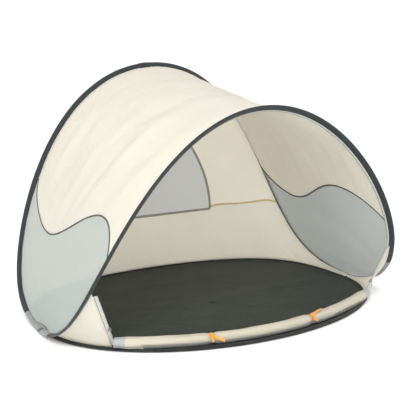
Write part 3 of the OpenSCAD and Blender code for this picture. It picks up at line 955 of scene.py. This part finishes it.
def arch_zip():
    """The door's upper zip tape, folded back inside the front arch while the door is open."""
    a = np.linspace(GUSSET_EDGE + 2.4, 360 - GUSSET_EDGE - 2.4, 240)
    top = rim(a, -1)
    down = unit(sill(a) - top)
    back = unit(roof(180 - a, np.full_like(a, 0.93)) - top)
    hang = unit(back * 0.85 + down * 0.5)
    run = run_lengths(top, 0)
    ripple = 0.0006 * noise(run / 0.03, 0.5, 101)[:, None]
    face = np.cross(heading(arch, a), hang)
    middle = top + hang * (ARCH_TAPE_GAP + ARCH_TAPE_W / 2) + face * ripple
    tape = ribbon("tape", middle, face, ARCH_TAPE_W, 0.0011)
    coil = teeth("coil", top + hang * (ARCH_TAPE_GAP + ARCH_TAPE_W) + face * ripple, face)
    sewn = top + hang * (ARCH_TAPE_GAP + 0.002)
    row = stitches("row", sewn + face * (ripple + 0.0007), face)
    row_in = stitches("row", sewn + face * (ripple - 0.0007), -face)
    dress(tape, ZIP_TAPE)
    dress(coil, TOOTH)
    dress(row, THREAD_PALE)
    dress(row_in, THREAD_PALE)
    piece = join("arch_zip", [tape, coil, row, row_in])
    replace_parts(piece, "arch_zip_tape")
    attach(piece, "front")


def front_selvedge():
    """A pale strip shows along the canopy's front edge, beside the binding."""
    a = np.linspace(-62, 62, 220)
    k = np.full_like(a, 0.984)
    path = roof(a, k)
    out = unit(path - HUB)
    strip = ribbon("front_selvedge", path + out * 0.0004, out, 0.007, 0.0022)
    dress(strip, SELVEDGE)
    follow_share(strip)


gusset("gusset_cloth_right", 1, "gusset_right")
gusset("gusset_cloth_left", -1, "gusset_left")
gusset_zip("gusset_tape_right", 1, "gusset_zip_right")
gusset_zip("gusset_tape_left", -1, "gusset_zip_left")
arch_zip()
front_selvedge()


# ---- the rolled door, its zip tape and its two ties ----
ROLL_TURNS = 4.6
CUFF = 3.5  # degrees along the roll that each silver cuff covers


def door_roll():
    """The door as one cloth wound on itself, drawn in at the ties, with silver cuffs."""
    a = even_angles(roll_line, 180 - ROLL_REACH, 180 + ROLL_REACH, 241)
    phi = np.linspace(0, 2 * np.pi * ROLL_TURNS, 180)
    s, t = np.meshgrid(a, phi, indexing="ij")
    run = run_lengths(roll_line(s), 0)
    turn = np.radians(-38) - t
    radius = roll_radius(s) * (1 - 0.72 * t / t.max())
    drawn = near(s, TIE_LEFT, 4.5) + near(s, TIE_RIGHT, 4.5)
    ends = ramp(np.abs(s - 180), ROLL_REACH - CUFF * 1.6, ROLL_REACH)
    twist = turn + run / 0.5
    soft = noise(run / 0.09 + 0.8 * np.cos(twist), 4 + 2.2 * np.sin(twist) + t / 6, 111)
    small = noise(run / 0.035 + np.cos(twist), 4 + 3 * np.sin(twist) + t / 6, 112)
    gather = np.sin(7 * turn + 2.5 * noise(run / 0.05, t / 3, 113))
    radius = radius * (1 + 0.10 * soft + 0.05 * small)
    radius = radius + 0.0007 * gather * (drawn + 1.3 * ends) - 0.0035 * ends * radius / ROLL_R
    o = outward(floor_hoop, s, FLOOR_HUB)
    up = np.array([0, 0, 1.0])
    points = roll_line(s) + radius[..., None] * (o * np.cos(turn)[..., None]
                                                 + up * np.sin(turn)[..., None])
    points[..., 2] = np.maximum(points[..., 2], 0.0032)
    piece = surface("door_roll_cloth", points)
    dress(piece, DOOR, 0.0007)
    piece.data.materials.append(SILVER)
    cuff = np.abs(a[:-1] + np.diff(a) / 2 - 180) > ROLL_REACH - CUFF
    which = np.repeat(cuff.astype(np.int32), len(phi) - 1)
    piece.data.polygons.foreach_set("material_index", which)
    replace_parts(piece, "door_roll")
    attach(piece, "front")
    return piece


def roll_side(a, turn, reach):
    """Points beside the roll, and the way off its skin there."""
    a, turn = np.broadcast_arrays(np.asarray(a, float), np.radians(np.asarray(turn, float)))
    o = outward(floor_hoop, a, FLOOR_HUB)
    out = o * np.cos(turn)[..., None] + np.array([0, 0, 1.0]) * np.sin(turn)[..., None]
    return roll_line(a) + out * (roll_radius(a) + reach)[..., None], out


def door_zip():
    """The zip's other tape shows along the outer foot of the roll, in a darker copy of the zip tape
    that paints the shade there.
    """
    a = even_angles(roll_line, 140, 223.5, 270)
    run = run_lengths(roll_line(a), 0)
    turn = -31 + 4 * noise(run / 0.12, 0.5, 121)
    path, out = roll_side(a, turn, 0.0014)
    tape = ribbon("tape", path, out, TAPE_W, 0.0011)
    low, low_out = roll_side(a, turn - 17, 0.0016)
    coil = teeth("coil", low, low_out)
    high, high_out = roll_side(a, turn + 9, 0.0021)
    row = stitches("row", high, high_out)
    # painted shade: this tape takes the darkened copy of the zip tape's colour
    dress(tape, SHADED_ZIP_TAPE)
    dress(coil, TOOTH)
    dress(row, THREAD_PALE)
    piece = join("door_zip", [tape, coil, row])
    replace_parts(piece, "door_zip_tape")
    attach(piece, "front")


def knot(centre, k, o, up, size=0.0023):
    """A small tied knot, as a trefoil of the same tape."""
    t = np.linspace(0, 2 * np.pi, 90, endpoint=False)
    x, y, z = np.sin(t) + 2 * np.sin(2 * t), np.cos(t) - 2 * np.cos(2 * t), -np.sin(3 * t)
    path = centre + size * (x[:, None] * k + y[:, None] * up + 1.25 * z[:, None] * o)
    ahead = unit(np.roll(path, -1, 0) - np.roll(path, 1, 0))
    thin = square_to(unit(path - centre) * 0.25 + o, ahead)
    return sweep("knot", path, np.cross(thin, ahead), thin, oval(0.0062, 0.0022, 12, 0.6), wrap=True)


def door_tie(name, at, node, tails, turn):
    """An orange tape tied round the roll, with its knot and its two loose ends."""
    p = roll_line(at)
    k = heading(roll_line, at)
    o = square_to(outward(floor_hoop, at, FLOOR_HUB), k)
    up = np.array([0, 0, 1.0])
    theta = np.linspace(0, 2 * np.pi, 72, endpoint=False)
    ring = TIE_R + 0.0016 + 0.0003 * np.sin(5 * theta)
    out = np.cos(theta)[:, None] * o + np.sin(theta)[:, None] * up
    sway = 0.0006 * np.sin(2 * theta)[:, None] * k
    across = np.broadcast_to(k, out.shape)
    band = sweep("band", p + out * ring[:, None] + sway, across, out,
                 oval(TIE_W, TIE_T, 12, 0.45), wrap=True)
    lean = math.radians(turn)
    radial = o * math.cos(lean) + up * math.sin(lean)
    around = up * math.cos(lean) - o * math.sin(lean)
    centre = p + radial * (TIE_R + 0.0045)
    parts = [band, knot(centre, k, radial, around)]
    for points in tails:
        path = smooth_path([centre + k * x + radial * y + around * z for x, y, z in points], 40)
        bulge = unit(path - p - k * ((path - p) @ k)[:, None])
        parts.append(ribbon("tail", path, bulge, 0.0078, TIE_T))
    piece = dress(join(name, parts), TIE)
    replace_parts(piece, node)
    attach(piece, "front")
    return piece


def zip_end():
    """The moulded box at the left end of the door's zip."""
    path, out = roll_side(np.linspace(223, 224.4, 12), -46, 0.0018)
    box = ribbon("zip_end", path, out, 0.0062, 0.0042)
    dress(box, TOOTH)
    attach(box, "front")


LEFT_TAILS = [
    [(0, 0, -0.003), (0.001, 0.003, -0.009), (0.002, 0.006, -0.017), (0.002, 0.008, -0.024)],
    [(-0.003, 0.001, -0.002), (-0.012, 0.006, -0.010), (-0.023, 0.012, -0.020),
     (-0.034, 0.018, -0.029)],
]
RIGHT_TAILS = [
    [(-0.002, 0, 0.002), (-0.014, 0.001, 0.008), (-0.034, 0.002, 0.013), (-0.056, 0.001, 0.016)],
    [(0, 0, -0.003), (0.002, 0.002, -0.010), (0.003, 0.004, -0.018), (0.003, 0.006, -0.025)],
]
door_roll()
door_zip()
door_tie("tie_left", TIE_LEFT, "door_tie_left", LEFT_TAILS, 42)
door_tie("tie_right", TIE_RIGHT, "door_tie_right", RIGHT_TAILS, 48)
zip_end()


# ---- pegging points at the back ----
def peg_tab(side):
    """A webbing tab with a hole for the eyelet and a box of stitches."""
    p = floor_hoop(PEG_AT)
    o = outward(floor_hoop, PEG_AT, FLOOR_HUB)
    w = np.array([-o[1], o[0], 0])
    start, length, half = 0.0085, 0.0895, 0.0128
    f = np.linspace(0, 2 * np.pi, 96, endpoint=False)
    c, s = np.cos(f), np.sin(f)
    far, back = start + length - PEG_REACH, PEG_REACH - start
    corner = 0.16
    ex = np.sign(c) * np.abs(c) ** corner
    ey = np.sign(s) * np.abs(s) ** corner
    outline = np.stack([PEG_REACH + np.where(ex > 0, ex * far, ex * back), ey * half], -1)
    hole = np.stack([PEG_REACH + 0.0072 * c, 0.0072 * s], -1)
    r = np.linspace(0, 1, 16)[None, :, None]
    flat = mix(hole[:, None], outline[:, None], r)
    away = np.abs(flat[..., 0] - PEG_REACH)
    z = 0.0016 + 0.0007 * noise(flat[..., 0] / 0.02, flat[..., 1] / 0.03 + 9, 131) * ramp(
        away, 0.010, 0.022)
    z = z + 0.002 * ramp(-flat[..., 0], -start - 0.012, -start)
    points = p * [1, 1, 0] + flat[..., :1] * o + flat[..., 1:] * w + z[..., None] * [0, 0, 1]
    tab = dress(surface("tab", points * [side, 1, 1], wrap_u=True), PEG_WEB)
    rows = []
    box = [(0.020, -0.009), (0.044, -0.009), (0.044, 0.009), (0.020, 0.009), (0.020, -0.009)]
    for (x0, y0), (x1, y1) in [*zip(box, box[1:]), (box[0], box[2]), (box[1], box[3])]:
        line = np.linspace(0, 1, 10)[:, None]
        xy = mix(np.array([x0, y0]), np.array([x1, y1]), line)
        spot = p * [1, 1, 0] + xy[:, :1] * o + xy[:, 1:] * w + [0, 0, 0.0034]
        rows.append(dress(stitches("row", spot * [side, 1, 1], [0, 0, 1]), THREAD_DARK))
    thick = tab.modifiers.new("thickness", "SOLIDIFY")
    thick.thickness, thick.offset = 0.0018, 0
    return tab, rows


def peg_tabs():
    for name, side in (("peg_tab_right", 1), ("peg_tab_left", -1)):
        tab, rows = peg_tab(side)
        tab.name = name
        sewn = join(f"{name}_stitches", rows)
        for piece in (tab, sewn):
            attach(piece, "rear")
        if side > 0:
            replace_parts(tab, "peg_tabs")


peg_tabs()

# ---- what stays from the CAD: ferrules, eyelets, sliders and pulls ----
for node, material, edge in (
    ("arch_ferrule", STEEL, 0.0003), ("floor_ferrule", STEEL, 0.0003),
    ("peg_eyelets", ZINC, 0.0004), ("zip_slider_left", ZINC, 0.0004),
    ("zip_slider_right", ZINC, 0.0004), ("zip_pull_left", PULL, 0.0006),
    ("zip_pull_right", PULL, 0.0006),
):
    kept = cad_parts[node]
    dress(kept, material)
    rounded = kept.modifiers.new("edges", "BEVEL")
    rounded.width, rounded.segments, rounded.limit_method = edge, 2, "ANGLE"
    kept.data.shade_smooth()
    kept.modifiers.new("normals", "WEIGHTED_NORMAL")


# ---- floor and light ----
FLOOR_REACH = 14


def studio():
    n = Nodes("studio_floor")
    where = n.where("Object")
    paint = n.blend(n.noise(where, 0.7), linear(250, 250, 250), linear(254, 254, 254))
    n.put(n.shader, "Base Color", paint)
    n.put(n.shader, "Roughness", 0.9)
    n.shader.inputs["Specular IOR Level"].default_value = 0.1
    ground = bpy.data.meshes.new("studio_floor")
    corners = [(x * FLOOR_REACH, y * FLOOR_REACH, 0) for x, y in ((-1, -1), (1, -1), (1, 1), (-1, 1))]
    ground.from_pydata(corners, [], [(0, 1, 2, 3)])
    ground.materials.append(n.material)
    plane = bpy.data.objects.new("studio_floor", ground)
    plane.location.z = -0.0004
    bpy.context.scene.collection.objects.link(plane)
    world = bpy.data.worlds.new("studio")
    world.use_nodes = True
    world.node_tree.nodes["Background"].inputs[0].default_value = (1, 1, 1, 1)
    world.node_tree.nodes["Background"].inputs[1].default_value = 1.16
    bpy.context.scene.world = world
    bpy.context.scene.view_settings.view_transform = "Standard"


def softbox(name, place, aim, size, power):
    light = bpy.data.lights.new(name, "AREA")
    light.shape, light.size, light.energy = "DISK", size, power
    obj = bpy.data.objects.new(name, light)
    bpy.context.scene.collection.objects.link(obj)
    obj.location = place
    obj.rotation_mode = "QUATERNION"
    obj.rotation_quaternion = (Vector(aim) - Vector(place)).to_track_quat("-Z", "Y")


studio()
softbox("key", (-2.2, -2.6, 3.4), (0, 0, 0.3), 1.6, 80)
softbox("fill", (-2.6, -3.4, 1.1), (0.1, 0, 0.35), 2.2, 48)
